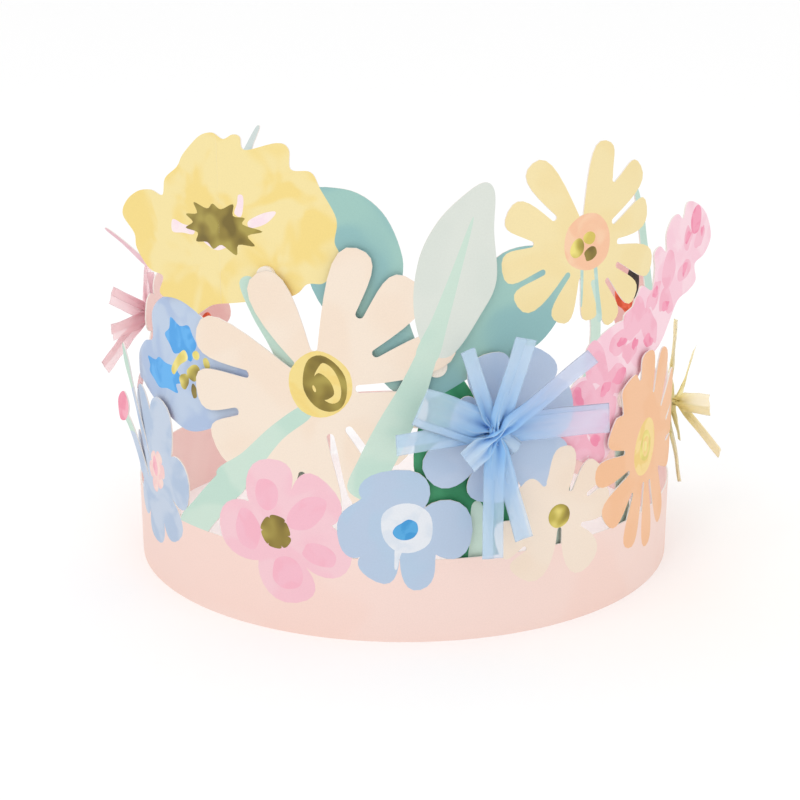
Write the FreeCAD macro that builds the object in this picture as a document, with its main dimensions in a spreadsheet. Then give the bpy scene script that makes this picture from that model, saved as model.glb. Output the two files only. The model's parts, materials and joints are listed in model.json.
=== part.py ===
import FreeCAD, Part
import math
import os

# Paper flower headpiece: a closed ring of die-cut card with a second die-cut card glued inside
# its front, foam pads between the two, and three tissue bows glued to the outside.
# Origin on the ring's axis at the bottom edge. +Z is up and the front of the crown faces -Y.
# Azimuth 0 is the front and grows towards +X. Places along the card are arc lengths in mm.

doc = FreeCAD.newDocument("PaperFlowerHeadpiece")

DIMENSIONS = [
    # alias, value, what it sets
    ("ring_radius", 90, "outer face of the front card"),
    ("card_thickness", 0.45, "thickness of both cards"),
    ("layer_gap", 1.2, "space between the two cards, filled by foam pads"),
    ("glue_line", 0.05, "film between a pad and what it holds"),
    ("band_height", 26, "height of the front card's band"),
    ("end_before_back", 16, "arc from the back centre to the end that carries the strap"),
    ("end_after_back", 30, "arc from the back centre to the free end of the band"),
    ("strap_height", 12, "height of the closing strap"),
    ("strap_drop", 1, "from the band's top edge down to the strap's top edge"),
    ("strap_joggle", 6, "arc over which the strap steps inwards"),
    ("strap_overlap", 24, "arc of the strap that lies behind the free end"),
    ("strap_glue", 0.3, "glue between the strap and the free end"),
    ("base_height", 22, "height of the back card's base strip"),
    ("base_lift", 2, "from the bottom edge up to the base strip"),
    ("base_reach", 106, "arc from the front centre to each end of the base strip"),
    ("die_reach", 20, "depth of the die's cut inside the ring's outer face"),
    ("cut_margin", 2, "how far a cutting solid runs past what it cuts"),
    ("headroom", 150, "height of the cutting solids above the band"),
    ("head_set_in", 0.15, "how far a flat flower head sits inside the tangent plane"),
    ("head_overlap", 6, "how far a flat head runs past its tangent line"),
    ("foam_pad_width", 6, "diameter of a foam pad between the cards"),
    ("bow_pad_width", 8, "diameter of the pad under a bow"),
    ("bow_pad_depth", 1.5, "depth of the pad under a bow"),
    ("tissue_thickness", 0.25, "a tissue strip, with its crumple"),
    ("tissue_pitch", 1.2, "spacing of the strips through a bow"),
    ("pinch_width", 2.4, "width of a tissue strip at the pinch"),
    ("pinch_overlap", 0.4, "how far each arm of a strip runs past the pinch"),
]

sheet = doc.addObject("Spreadsheet::Sheet", "Dimensions")
for row, (alias, value, note) in enumerate(DIMENSIONS, 1):
    sheet.set("A%d" % row, alias)
    sheet.set("B%d" % row, str(value))
    sheet.setAlias("B%d" % row, alias)
    sheet.set("C%d" % row, note)
doc.recompute()


def size(alias):
    return float(sheet.get(alias))


# Outlines -----------------------------------------------------------------------------
# Each outline is a closed list of cubic Bezier segments (four points each), in mm from the
# motif's own centre: x along the card to the right, y up.

def petals(rows, belly, slot=0):
    """A flower's edge from rows of (angle, length, width, radius of the notch after it).

    The notches are sharp, or round-ended slots of a given width.
    """
    segments = []
    gaps = []
    notches = []
    for row, (angle, length, width, notch) in enumerate(rows):
        gap = (angle - rows[(row + 1) % len(rows)][0]) % 360
        middle = math.radians(angle - gap / 2)
        out = (math.cos(middle), math.sin(middle))
        gaps.append(math.radians(gap / 2))
        # the slot's bottom, from the petal before it to the petal after it
        notches.append([
            (out[0] * (notch + reach) - out[1] * half, out[1] * (notch + reach) + out[0] * half)
            for reach, half in ((slot / 2, slot / 2), (-slot / 6, slot / 2),
                                (-slot / 6, -slot / 2), (slot / 2, -slot / 2))])
    for row, (angle, length, width, notch) in enumerate(rows):
        along = (math.cos(math.radians(angle)), math.sin(math.radians(angle)))
        across = (-along[1], along[0])

        def at(x, y):
            return (along[0] * x + across[0] * y, along[1] * x + across[1] * y)

        shoulder = (0.4 + 0.45 * belly) * width
        for side, start, gap in ((1, notches[row - 1][3], gaps[row - 1]),
                                 (-1, notches[row][0], gaps[row])):
            root = start[0] * along[0] + start[1] * along[1]
            spread = abs(start[0] * across[0] + start[1] * across[1])
            waist = root + belly * (length - root)
            flank = (width / 2 - spread / 8) * 8 / 3 - shoulder
            if gap < math.radians(80):
                flank = min(flank, 0.97 * waist * math.tan(gap) - slot / 2)
            edge = (start, at(waist, side * flank), at(length, side * shoulder), at(length, 0))
            segments.append(edge if side == 1 else edge[::-1])
        if slot:
            segments.append(notches[row])
    return segments


def patch(points):
    """A smooth closed curve through a few points."""
    segments = []
    count = len(points)
    for index in range(count):
        before, start = points[index - 1], points[index]
        end, after = points[(index + 1) % count], points[(index + 2) % count]
        lead = [start[k] + (end[k] - before[k]) / 6 for k in (0, 1)]
        trail = [end[k] - (after[k] - start[k]) / 6 for k in (0, 1)]
        segments.append((start, tuple(lead), tuple(trail), end))
    return segments


def ribbon(rows):
    """A stem, leaf or strip from rows of (x, y, width) along its middle."""
    left, right = [], []
    for index, (x, y, width) in enumerate(rows):
        x0, y0 = rows[max(index - 1, 0)][:2]
        x1, y1 = rows[min(index + 1, len(rows) - 1)][:2]
        run = math.hypot(x1 - x0, y1 - y0)
        side = (-(y1 - y0) / run * width / 2, (x1 - x0) / run * width / 2)
        left.append((x + side[0], y + side[1]))
        right.append((x - side[0], y - side[1]))
    return patch(left + right[::-1])


def straight(start, end):
    thirds = [tuple(start[k] + (end[k] - start[k]) * part / 3 for k in (0, 1)) for part in (1, 2)]
    return [start] + thirds + [end]


def taper(start, end, root, width):
    """A strip along x that widens from its root, with straight ends."""
    upper = [(start, root / 2), (0.4 * end, root / 2), (0.6 * end, width / 2), (end, width / 2)]
    lower = [(x, -y) for x, y in upper]
    return [upper, straight(upper[-1], lower[-1]), lower[::-1], straight(lower[0], upper[0])]


# Motifs: name, arc place and rise above the band's top edge of the motif's centre, outline.
# Petals run clockwise. The rise keeps every motif joined to the band when the band changes.

FRONT_MOTIFS = [
    ("cream_daisy", -24.6, 50.4, petals([
        (75, 43, 11.5, 24.5), (50, 42, 13.5, 19), (21, 40, 11, 10.5), (-10, 31, 12, 19),
        (-37, 31, 14, 13), (-68, 36.5, 10.5, 13), (-87, 37.5, 11.5, 25.5), (-118, 34.5, 14.5, 29.5),
        (-148, 41.5, 13.5, 28), (-173, 42.5, 13, 22.5), (-198, 43, 14, 10), (-240, 37.5, 13, 11.5)], 0.6, 2.4)),
    ("pale_leaf", 17.4, 71.8, patch([
        (4.5, 38), (7.5, 35), (7.5, 24.5), (8.5, 10.5), (4, 1), (-4.5, -10.5),
        (-12, -8), (-15, 4), (-13.5, 17.5), (-8.5, 27.5), (-1.5, 34.5)])),
    ("leaf_stem", 17.4, 71.8, ribbon([
        (-7.5, 0, 4.6), (-11.5, -11, 6), (-15.5, -21.5, 8), (-20.5, -32, 9.5),
        (-25.5, -42.5, 9.5), (-29.5, -52, 8)])),
    ("pink_flower", -38.5, 5.2, petals([
        (96, 23, 17, 15), (48, 23.5, 17.5, 17.5), (-18, 23.5, 14, 13), (-75, 22, 18.5, 12),
        (-176, 21.5, 16.5, 13)], 0.3)),
    ("small_blue", -0.8, 9.4, petals([
        (96, 18.5, 20, 9), (-3, 20.5, 20.5, 12.5), (-74, 19.5, 10.5, 8), (-115, 18, 13, 15),
        (-174, 19, 15, 15)], 0.3)),
    ("big_blue", 28, 39.8, petals([
        (105, 22, 14.5, 18), (60, 24.5, 17, 20), (11, 24, 15, 19), (-45, 25.5, 21.5, 18.5),
        (-99, 23.5, 17, 16), (-146, 26, 15, 13), (-200, 15, 13, 11)], 0.3)),
    ("small_cream", 48.6, 8.8, petals([
        (87, 22, 9, 8), (44, 20, 12, 11), (5, 20, 10, 9), (-58, 22, 13, 3.5), (-128, 22, 14, 14),
        (-165, 22, 14, 14), (-210, 18, 13, 12)], 0.5, 1.6)),
    ("orange_daisy", 89.2, 19.9, petals([
        (117, 28.5, 9, 25), (91, 32.5, 9.5, 18.5), (64, 33.5, 10.5, 16.5), (26, 36, 13.5, 19.5),
        (5, 34, 13.5, 19.5), (-15, 31, 11.5, 14.5), (-59, 32.5, 9, 11), (-84, 33, 8, 10),
        (-107, 31, 9, 14), (-141, 28, 12, 11), (-176, 27, 8.5, 13.5), (-208, 23.5, 9.5, 21.5)], 0.6, 1.6)),
    ("periwinkle", -95.2, 12.1, petals([
        (74, 25, 14.5, 13.5), (-8, 21, 18, 12), (-54, 24, 15, 17), (-96, 25, 15, 17),
        (-135, 23.5, 13, 12), (-178, 26.5, 19, 14.5), (-230, 29, 16, 19)], 0.3)),
    ("left_stem", -48.6, 25.8, ribbon([
        (19.5, 17, 4.5), (10.5, 10, 5), (1, 0, 7), (-8, -9, 9.5), (-18.5, -20, 10), (-26.5, -29, 10)])),
    ("side_left_flower", -169, 45, petals([
        (90, 16, 13, 10), (18, 16, 13, 10), (-54, 16, 13, 10), (-126, 16, 13, 10), (-198, 16, 13, 10)], 0.3)),
    ("side_left_stem", -169, 45, ribbon([(0, 0, 4), (2, -26, 6), (0, -55, 8)])),
    ("side_right_flower", 150, 18.5, petals([
        (90, 16, 13, 10), (18, 16, 13, 10), (-54, 16, 13, 10), (-126, 16, 13, 10), (-198, 16, 13, 10)], 0.3)),
    ("side_right_stem", 150, 18.5, ribbon([(0, 0, 4), (-1.5, -14, 5), (0, -30, 7)])),
    ("rear_left_flower", -197, 36, petals([
        (90, 13, 10, 8), (18, 13, 10, 8), (-54, 13, 10, 8), (-126, 13, 10, 8), (-198, 13, 10, 8)], 0.3)),
    ("rear_left_stem", -197, 36, ribbon([(0, 0, 4), (-2, -22, 5), (0, -46, 7)])),
    ("rear_right_flower", 182, 51, petals([
        (60, 17, 12, 11), (-12, 16, 12, 11), (-84, 17, 12, 11), (-156, 16, 12, 11), (-228, 17, 12, 11)], 0.3)),
    ("rear_right_stem", 182, 51, ribbon([(0, 0, 4), (2, -30, 5), (0, -61, 7)])),
]

BACK_MOTIFS = [
    ("teal_leaf", 17.7, 71.4, patch([
        (-46, 33), (-33.5, 36.5), (-23.5, 30.5), (-18, 18), (-18, 6), (-13, -10), (-11, -19),
        (-20, -21), (-30.5, -8), (-42, 8)])),
    ("teal_leaf_right", 38.2, 69.3, patch([
        (-11.5, 19), (1.5, 21.5), (12, 15.5), (10, 3), (5, -4.5), (-2, -9), (-15, -13),
        (-30, -21), (-37, -18), (-28, -6), (-18.5, 4)])),
    ("green_leaf", 28.6, 38.8, ribbon([
        (-21.5, 23.5, 3), (-16, 10, 14), (-14.5, -8, 22), (-8.5, -23.5, 24), (-2.5, -43.5, 14)])),
    ("pale_daisy", 56.2, 88.9, petals([
        (77, 30.5, 9, 20.5), (41, 31.5, 10, 12), (16, 29.5, 10, 13), (-17, 34.5, 10, 14.5),
        (-38, 29.5, 8.5, 13.5), (-63, 27, 9, 10.5), (-83, 22, 7.5, 9), (-113, 23, 8.5, 9),
        (-146, 27, 9.5, 15), (-170, 27.5, 10, 18), (-205, 28.5, 9.5, 14), (-233, 31.5, 9, 9)], 0.6, 1.8)),
    ("pale_daisy_stem", 56.2, 88.9, ribbon([
        (1, -5, 3), (5, -24, 4), (3, -38, 4), (-3, -56, 4.5), (-6, -74, 6), (-6, -96, 7)])),
    ("mint_blade", 102.1, 59, ribbon([
        (-23, 44.5, 1.5), (-19.5, 36, 3.5), (-17, 28, 4), (-14, 18.5, 4.5), (-11, 8.5, 5), (-9.5, -2.5, 5)])),
    ("hyacinth_stem", 80, 26, ribbon([(-6, 20, 5), (-4, 0, 6), (0, -34, 7)])),
    ("left_blue", -74.7, 47.2, patch([
        (-22, 15.5), (-12.5, 22), (-0.5, 23), (13.5, 16), (25, 5.5), (23.5, -6.5), (12, -13.5),
        (-0.5, -17.5), (-14, -15), (-33.5, -10.5), (-43, -10.5), (-43, -4), (-31, 4), (-22.5, 7)])),
    ("left_blue_stem", -97, 20, ribbon([(8, 18, 6), (2, 6, 7), (-1, -12, 7), (-1, -26, 8)])),
    ("poppy_stem", -32, 40, ribbon([
        (-16, 40, 5), (-12, 31, 5), (-6.5, 22.5, 5), (-1.5, 12, 5), (1, -4, 5.5), (1, -20, 6), (2, -46, 7)])),
    ("poppy_bract", -64, 92.6, ribbon([(20.5, 31, 1), (18, 26.5, 1.8), (15.5, 21.5, 2.4)])),
]

# Flower heads that leave the ring along their tangent: side -1 is flat to the left of the
# motif's centre and +1 to the right; the other half follows the ring.
BUD_HEADS = [
    ("bud", -94.2, 19, patch([(-28, 12), (-24, 8.5), (-26.5, 3), (-32.5, 1.5), (-33.5, 8)])),
    ("bud_stem", -94.2, 19, ribbon([
        (-29, 5, 2.5), (-23, 1.5, 3.5), (-16.5, -5, 4), (-10.5, -13, 5), (-1, -26, 7)])),
    ("bud_leaf", -94.2, 19, ribbon([
        (-26.5, 28, 1), (-24, 23, 3.5), (-20, 16, 2), (-15, 7, 2), (-9.5, -3, 3), (-3, -18, 5)])),
]
POPPY = ("poppy", -64, 92.6, patch([
    (-18, 8.5), (-23, 9.5), (-29, 8.5), (-34.5, 5), (-36.5, 0.5), (-31.5, -4.5), (-30.5, -9),
    (-25, -14.5), (-19, -16), (-20.5, -21.5), (-11.5, -23.5), (-6, -26), (2.5, -21.5), (12, -19.5),
    (29, -16), (34, -12), (39, -11), (42.5, -3.5), (41.5, 0.5), (42, 7), (38, 15), (35.5, 19.5),
    (30, 20), (29.5, 25.5), (26, 27), (16, 24.5), (14.5, 28), (12, 28.5), (8.5, 27), (4.5, 28.5),
    (-1, 27), (-8, 21.5), (-11, 17.5), (-16.5, 13.5)]))
SPRIG = ("sprig", -64, 92.6, ribbon([(-44.5, -5, 0.8), (-37, -8, 1.2), (-27, -13, 1.6)]))
HYACINTH = ("hyacinth", 91.1, 59, patch([
    (-39, -19), (-37.5, -13), (-35, -9.5), (-30.5, -8), (-30.5, -1.5), (-26.5, 2.5), (-20, 5), (-13.5, 6),
    (-9.5, 11), (-6, 14), (1, 11.5), (3, 17), (2, 22.5), (6.5, 24), (11.5, 21.5), (11, 27), (14.5, 31),
    (19.5, 32), (24, 30), (26.5, 34.5), (34, 33.5), (43.5, 28.5), (48.5, 20.5), (43.5, 15.5),
    (35.5, 13.5), (37, 8), (31, 5.5), (22.5, 4), (16.5, -1.5), (9.5, -7.5), (-5, -13), (-14.5, -24.5),
    (-23, -37), (-34, -34), (-36, -25)]))


# Where the foam pads sit: arc place, and height above the band's top edge (negative: behind
# the band).
FOAM_PLACES = [
    (-96, -14), (-60, -14), (-20, -14), (20, -14), (60, -14), (96, -14),
    (-57, 46.5), (-41, 82), (-16.5, 79.5), (9, 58), (26, 32), (76, 40)]

# Bows: name, arc place, rise, lift of the lowest and topmost arms in degrees, strips. Each strip is
# pinched in the middle: angle, length and width at the end of one arm, then of the other.
BOWS = [
    ("blue_bow", 24.4, 39.2, (5, 8), [
        (3, 35, 9, 182, 29, 6.5), (156, 24.5, 11.5, -38, 9, 5), (109.5, 27, 4.5, 285, 33, 5.5),
        (76, 29.5, 6.5, 267, 36, 6.5), (40.5, 35, 5, 216, 11.5, 7.5)]),
    ("pink_bow", -169, 45, (10, 18), [
        (-75, 27, 4, 98, 15, 5), (-5, 22, 6, 170, 20, 6), (30, 22, 6.5, 215, 22, 6.5),
        (-38, 26, 6.5, 135, 22, 6)]),
    ("yellow_bow", 150, 18.5, (6, 24), [
        (250, 28, 3, 85, 29, 4), (265, 14, 3.5, 20, 22, 6), (167, 22, 7, -20, 22, 6),
        (215, 25, 5.5, 50, 22, 6)]),
]


# Building blocks -------------------------------------------------------------------------

def add(kind, name, **values):
    item = doc.addObject(kind, name)
    for key, value in values.items():
        setattr(item, key, value)
    return item


def bind(item, **formulas):
    """Ties properties to the sheet: D. stands for it, and __ in a path for a dot."""
    for path, formula in formulas.items():
        item.setExpression(path.replace("__", "."), formula.replace("D.", "Dimensions."))
    return item


def azimuthOf(arc):
    return arc / size("ring_radius")


def outwards(azimuth):
    return FreeCAD.Vector(math.sin(azimuth), -math.cos(azimuth), 0)


def cylinder(name, radius, height, base="0", start=None, sweep="360"):
    """Upright cylinder or pie slice; start is an azimuth in radians, sweep is in degrees."""
    item = add("Part::Cylinder", name)
    if start is not None:
        item.Placement.Rotation = FreeCAD.Rotation(math.degrees(start) - 90, 0, 0)
    return bind(item, Radius=radius, Height=height, Angle=sweep, Placement__Base__z=base)


def tube(name, outer, inner, height, base="0", start=None, sweep="360"):
    outside = cylinder(name + "_outside", outer, height, base, start, sweep)
    inside = cylinder(name + "_inside", inner, height, base, start, sweep)
    return add("Part::Cut", name, Base=outside, Tool=inside)


def drawing(name, outline, placement, rise):
    """Sketch of an outline at a height above the band's top edge."""
    sketch = add("Sketcher::SketchObject", name + "_outline", Placement=placement)
    for points in outline:
        curve = Part.BezierCurve()
        curve.setPoles([FreeCAD.Vector(x, y, 0) for x, y in points])
        sketch.addGeometry(curve.toBSpline(), False)
    return bind(sketch, Placement__Base__z="D.band_height + %s" % rise)


def facing(arc, offset):
    """Placement of a drawing plane that faces outwards, offset mm from the ring's axis."""
    azimuth = azimuthOf(arc)
    turn = FreeCAD.Rotation(math.degrees(azimuth), 0, 90)
    return FreeCAD.Placement(outwards(azimuth) * offset, turn)


def extrude(name, sketch, depth):
    item = add("Part::Extrusion", name, Base=sketch, DirMode="Normal", Solid=True)
    return bind(item, LengthFwd=depth)


def die(motif):
    """Bar with a motif's outline, from inside the ring out past the card."""
    name, arc, rise, outline = motif
    inner_end = size("ring_radius") - size("die_reach")
    sketch = drawing(name, outline, facing(arc, inner_end), rise)
    return extrude(name + "_die", sketch, "D.die_reach + D.cut_margin")


def sideBox(name, arc, side):
    """Room on one side of the line where a flat head leaves the ring, with the overlap."""
    azimuth = azimuthOf(arc)
    along = FreeCAD.Vector(math.cos(azimuth), math.sin(azimuth), 0)
    start = -size("head_overlap") if side > 0 else size("head_overlap") - 2 * size("ring_radius")
    corner = along * start + outwards(azimuth) * (size("ring_radius") + size("cut_margin"))
    turn = FreeCAD.Rotation(math.degrees(azimuth), 0, 0)
    box = add("Part::Box", name, Placement=FreeCAD.Placement(corner, turn))
    return bind(box, Length="2 * D.ring_radius", Width="D.die_reach + 2 * D.cut_margin",
                Height="D.band_height + D.headroom")


def flatHead(motif, side, card_face):
    """The part of a motif that goes on straight past its tangent line."""
    name, arc, rise, outline = motif
    inner_face = card_face - size("head_set_in") - size("card_thickness")
    plate = extrude(name + "_plate", drawing(name + "_head", outline, facing(arc, inner_face), rise),
                    "D.card_thickness")
    return add("Part::Common", name + "_head", Base=plate, Tool=sideBox(name + "_head_side", arc, side))


def ringHalf(motif, side):
    """The part of a flat-headed motif's die that still follows the ring."""
    name, arc = motif[:2]
    return add("Part::Common", name + "_ring_die", Base=die(motif),
               Tool=sideBox(name + "_ring_side", arc, -side))


def cardRing(name, blank, outer, inner):
    """Ring of card with the outline of its blank."""
    wall = tube(name + "_wall", outer, inner, "D.band_height + D.headroom")
    return add("Part::Common", name + "_ring", Base=wall, Tool=blank)


# The cards ----------------------------------------------------------------------------------

def frontCard():
    """Band, front motifs and the closing strap, all one piece of card."""
    band = cylinder("band_blank", "D.ring_radius + D.cut_margin", "D.band_height")
    blank = add("Part::MultiFuse", "front_blank", Shapes=[band] + [die(motif) for motif in FRONT_MOTIFS])
    ring = cardRing("front", blank, "D.ring_radius", "D.ring_radius - D.card_thickness")
    # The ring is open at the back, from the end with the strap to the free end.
    strap_end = math.pi - azimuthOf(size("end_before_back"))
    gap = cylinder("back_gap", "D.ring_radius + D.cut_margin", "D.band_height + 2 * D.cut_margin",
                   "-D.cut_margin", strap_end,
                   "(D.end_before_back + D.end_after_back) / D.ring_radius * 180 / pi")
    open_ring = add("Part::Cut", "open_ring", Base=ring, Tool=gap)
    joggle, tail = strap(strap_end)
    heads = [flatHead(motif, -1, size("ring_radius")) for motif in BUD_HEADS]
    return add("Part::MultiFuse", "front_card", Shapes=[open_ring, joggle, tail] + heads)


def strap(start):
    """The strap steps inwards past the end of the band, then runs behind the free end."""
    height = "D.strap_height"
    base = "D.band_height - D.strap_drop - D.strap_height"
    outer = size("ring_radius")
    step = size("card_thickness") + size("strap_glue")
    bend = start + azimuthOf(size("strap_joggle"))
    corners = [
        outwards(start) * outer, outwards(bend) * (outer - step),
        outwards(bend) * (outer - step - size("card_thickness")),
        outwards(start) * (outer - size("card_thickness"))]
    plan = add("Sketcher::SketchObject", "strap_joggle_outline")
    for corner, following in zip(corners, corners[1:] + corners[:1]):
        plan.addGeometry(Part.LineSegment(corner, following), False)
    bind(plan, Placement__Base__z=base)
    joggle = extrude("strap_joggle", plan, height)
    tail = tube("strap_tail", "D.ring_radius - D.card_thickness - D.strap_glue",
                "D.ring_radius - 2 * D.card_thickness - D.strap_glue", height, base, bend,
                "(D.end_before_back + D.end_after_back + D.strap_overlap - D.strap_joggle)"
                " / D.ring_radius * 180 / pi")
    return joggle, tail


def strapGlue():
    free_end = math.pi + azimuthOf(size("end_after_back"))
    return tube("strap_glue", "D.ring_radius - D.card_thickness - D.glue_line",
                "D.ring_radius - D.card_thickness - D.strap_glue + D.glue_line", "D.strap_height",
                "D.band_height - D.strap_drop - D.strap_height", free_end,
                "D.strap_overlap / D.ring_radius * 180 / pi")


def backCard():
    """Base strip and the motifs that show behind the front card, all one piece of card."""
    reach = azimuthOf(size("base_reach"))
    base = cylinder("base_blank", "D.ring_radius + D.cut_margin", "D.base_height", "D.base_lift", -reach,
                    "2 * D.base_reach / D.ring_radius * 180 / pi")
    dies = [die(motif) for motif in BACK_MOTIFS] + [ringHalf(POPPY, -1), ringHalf(HYACINTH, 1)]
    blank = add("Part::MultiFuse", "back_blank", Shapes=[base] + dies)
    ring = cardRing("back", blank, "D.ring_radius - D.card_thickness - D.layer_gap",
                    "D.ring_radius - 2 * D.card_thickness - D.layer_gap")
    face = size("ring_radius") - size("card_thickness") - size("layer_gap")
    heads = [flatHead(motif, -1, face) for motif in (POPPY, SPRIG)] + [flatHead(HYACINTH, 1, face)]
    return add("Part::MultiFuse", "back_card", Shapes=[ring] + heads)


def foamPad(name, arc, rise):
    """Disc of foam that fills the space between the two cards."""
    room = tube(name + "_room", "D.ring_radius - D.card_thickness - D.glue_line",
                "D.ring_radius - D.card_thickness - D.layer_gap + D.glue_line", "D.band_height + D.headroom")
    inner_end = size("ring_radius") - size("die_reach")
    disc = add("Part::Cylinder", name + "_disc", Placement=facing(arc, inner_end))
    bind(disc, Radius="D.foam_pad_width / 2", Height="D.die_reach + D.cut_margin",
         Placement__Base__z="D.band_height + %s" % rise)
    return add("Part::Common", name, Base=disc, Tool=room)


# The bows -----------------------------------------------------------------------------------

def bowPad(name, arc, rise):
    """Disc between the front card and a bow, hollowed to the ring's curve."""
    inner_end = size("ring_radius") - size("cut_margin")
    disc = add("Part::Cylinder", name + "_disc", Placement=facing(arc, inner_end))
    bind(disc, Radius="D.bow_pad_width / 2", Height="D.cut_margin + D.bow_pad_depth",
         Placement__Base__z="D.band_height + %s" % rise)
    ring = cylinder(name + "_ring", "D.ring_radius + D.glue_line", "D.band_height + D.headroom")
    return add("Part::Cut", name, Base=disc, Tool=ring)


def arm(name, arc, rise, offset, lift, angle, length, width):
    """Half of a tissue strip: narrow at the pinch, wide at the end, lifted off the card."""
    outline = taper(-size("pinch_overlap"), length, size("pinch_width"), width)
    placement = facing(arc, size("ring_radius") + offset)
    turn = FreeCAD.Rotation(FreeCAD.Vector(0, 0, 1), angle)
    raised = FreeCAD.Rotation(FreeCAD.Vector(0, 1, 0), -lift)
    placement.Rotation = placement.Rotation * turn * raised
    return extrude(name, drawing(name, outline, placement, rise), "D.tissue_thickness")


def bow(name, arc, rise, lifts, strips):
    """The pad and the strips of one bow, which fan out from the card."""
    pieces = [bowPad(name + "_pad", arc, rise)]
    for level, (angle, length, width, other_angle, other_length, other_width) in enumerate(strips):
        lift = lifts[0] + (lifts[1] - lifts[0]) * level / (len(strips) - 1)
        root_dip = size("pinch_overlap") * math.sin(math.radians(lift))
        offset = size("bow_pad_depth") + size("glue_line") + root_dip + level * size("tissue_pitch")
        strip = "%s_strip_%d" % (name, level + 1)
        arms = [arm(strip + "_arm", arc, rise, offset, lift, angle, length, width),
                arm(strip + "_other_arm", arc, rise, offset, lift,
                    other_angle, other_length, other_width)]
        pieces.append(add("Part::MultiFuse", strip, Shapes=arms))
    return pieces


# The whole headpiece ------------------------------------------------------------------------

parts = [frontCard(), strapGlue(), backCard()]
for number, (arc, rise) in enumerate(FOAM_PLACES, 1):
    parts.append(foamPad("foam_pad_%02d" % number, arc, rise))
for settings in BOWS:
    parts += bow(*settings)
doc.recompute()

faults = [item.Name for item in doc.Objects if {"Invalid", "Error"} & set(item.State)]
for item in parts:
    shape = item.Shape
    if shape.isNull() or not shape.isValid() or len(shape.Solids) != 1:
        faults.append(item.Name)
    item.Label = item.Name
if faults:
    raise RuntimeError("Failed: " + ", ".join(faults))

os.makedirs("parts", exist_ok=True)
for item in parts:
    item.Shape.exportStep("parts/%s.step" % item.Label)
    print(item.Label, round(item.Shape.Volume, 1))
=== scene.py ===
import json
import math

import bmesh
import bpy
from mathutils import Matrix, Vector, geometry, noise


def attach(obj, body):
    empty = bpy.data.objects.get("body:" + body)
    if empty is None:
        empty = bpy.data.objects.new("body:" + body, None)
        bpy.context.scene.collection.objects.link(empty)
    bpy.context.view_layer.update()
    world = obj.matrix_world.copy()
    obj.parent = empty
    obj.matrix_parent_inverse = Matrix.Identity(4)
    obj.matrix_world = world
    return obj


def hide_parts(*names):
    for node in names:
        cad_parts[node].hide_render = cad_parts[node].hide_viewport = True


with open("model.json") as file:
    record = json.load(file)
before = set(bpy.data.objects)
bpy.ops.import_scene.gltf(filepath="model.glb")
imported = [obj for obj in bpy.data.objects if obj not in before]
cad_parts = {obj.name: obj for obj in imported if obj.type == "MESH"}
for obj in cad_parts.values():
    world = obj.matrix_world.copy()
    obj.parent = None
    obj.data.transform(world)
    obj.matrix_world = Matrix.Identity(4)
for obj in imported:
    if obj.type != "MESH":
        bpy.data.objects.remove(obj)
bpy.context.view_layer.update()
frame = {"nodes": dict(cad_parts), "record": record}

print("frame loaded")

# A paper flower crown: two die-cut, printed cards rolled into a ring, and three tissue bows.
# Sizes are millimetres on the flat card, as a die cutter would have them: arc is the way round
# the ring from its front, and height is above the table. The last step of each piece turns
# them to metres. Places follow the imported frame.

metre = 1000    # in millimetres
everywhere = (-math.inf, math.inf)    # reach of a layer that is cut off nowhere

mounts = {mount["name"]: mount for mount in frame["record"]["mounts"]}

ring = {
    "card": 0.45,            # board thickness
    "rolledGrid": 4,         # width of the mesh where the card is rolled, and where it is flat
    "flatGrid": 6,
    "gap": 1.2,              # foam between the two cards
    "bandHeight": 26,
    "freeEnd": 30,           # arc from the back centre to the band's free end
    "strapEnd": 16,          # arc from the back centre to the end that carries the strap
    "strapTuck": 2,          # the strap's print runs on under the band's
    "strapJoggle": 6,        # arc over which the strap steps inwards
    "strapStep": 0.75,
    "strapOverlap": 24,
    "strapHeights": (13, 25),
    "baseReach": 106,        # half the back card's base strip
    "baseHeights": (2, 24),
    "headSetIn": 0.15,       # a flat flower head starts this far inside the ring's face
    "headOverlap": 6,        # arc over which the head and its rolled card both run
    "sway": 0.8,             # how far tall card leans in and out
    "swayFrom": 35,          # height where it begins, and the rise over which it grows
    "swayRise": 70,
}
ring["radius"] = -metre * mounts["band_edge"]["pos_m"][1] + ring["card"] / 2
ring["halfRound"] = math.pi * ring["radius"]
ring["strapStart"] = ring["halfRound"] - ring["strapEnd"]


def outwards(azimuth):
    return Vector((math.sin(azimuth), -math.cos(azimuth), 0))


def clamped(share):
    return max(0, min(1, share))


def smoothStep(share):
    share = clamped(share)
    return share * share * (3 - 2 * share)


def sway(arc, height):
    # one slow wave every 34 mm round the ring and 55 mm up
    rise = clamped((height - ring["swayFrom"]) / ring["swayRise"])
    return ring["sway"] * rise * noise.noise(Vector((arc / 34, height / 55, 3.7)))


# Outlines: closed lists of points round a motif's own centre, x along the card and y up.

def curved(segments, steps=7):
    points = []
    for knots in segments:
        points += geometry.interpolate_bezier(*[Vector(knot) for knot in knots], steps + 1)[:-1]
    return points


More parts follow.
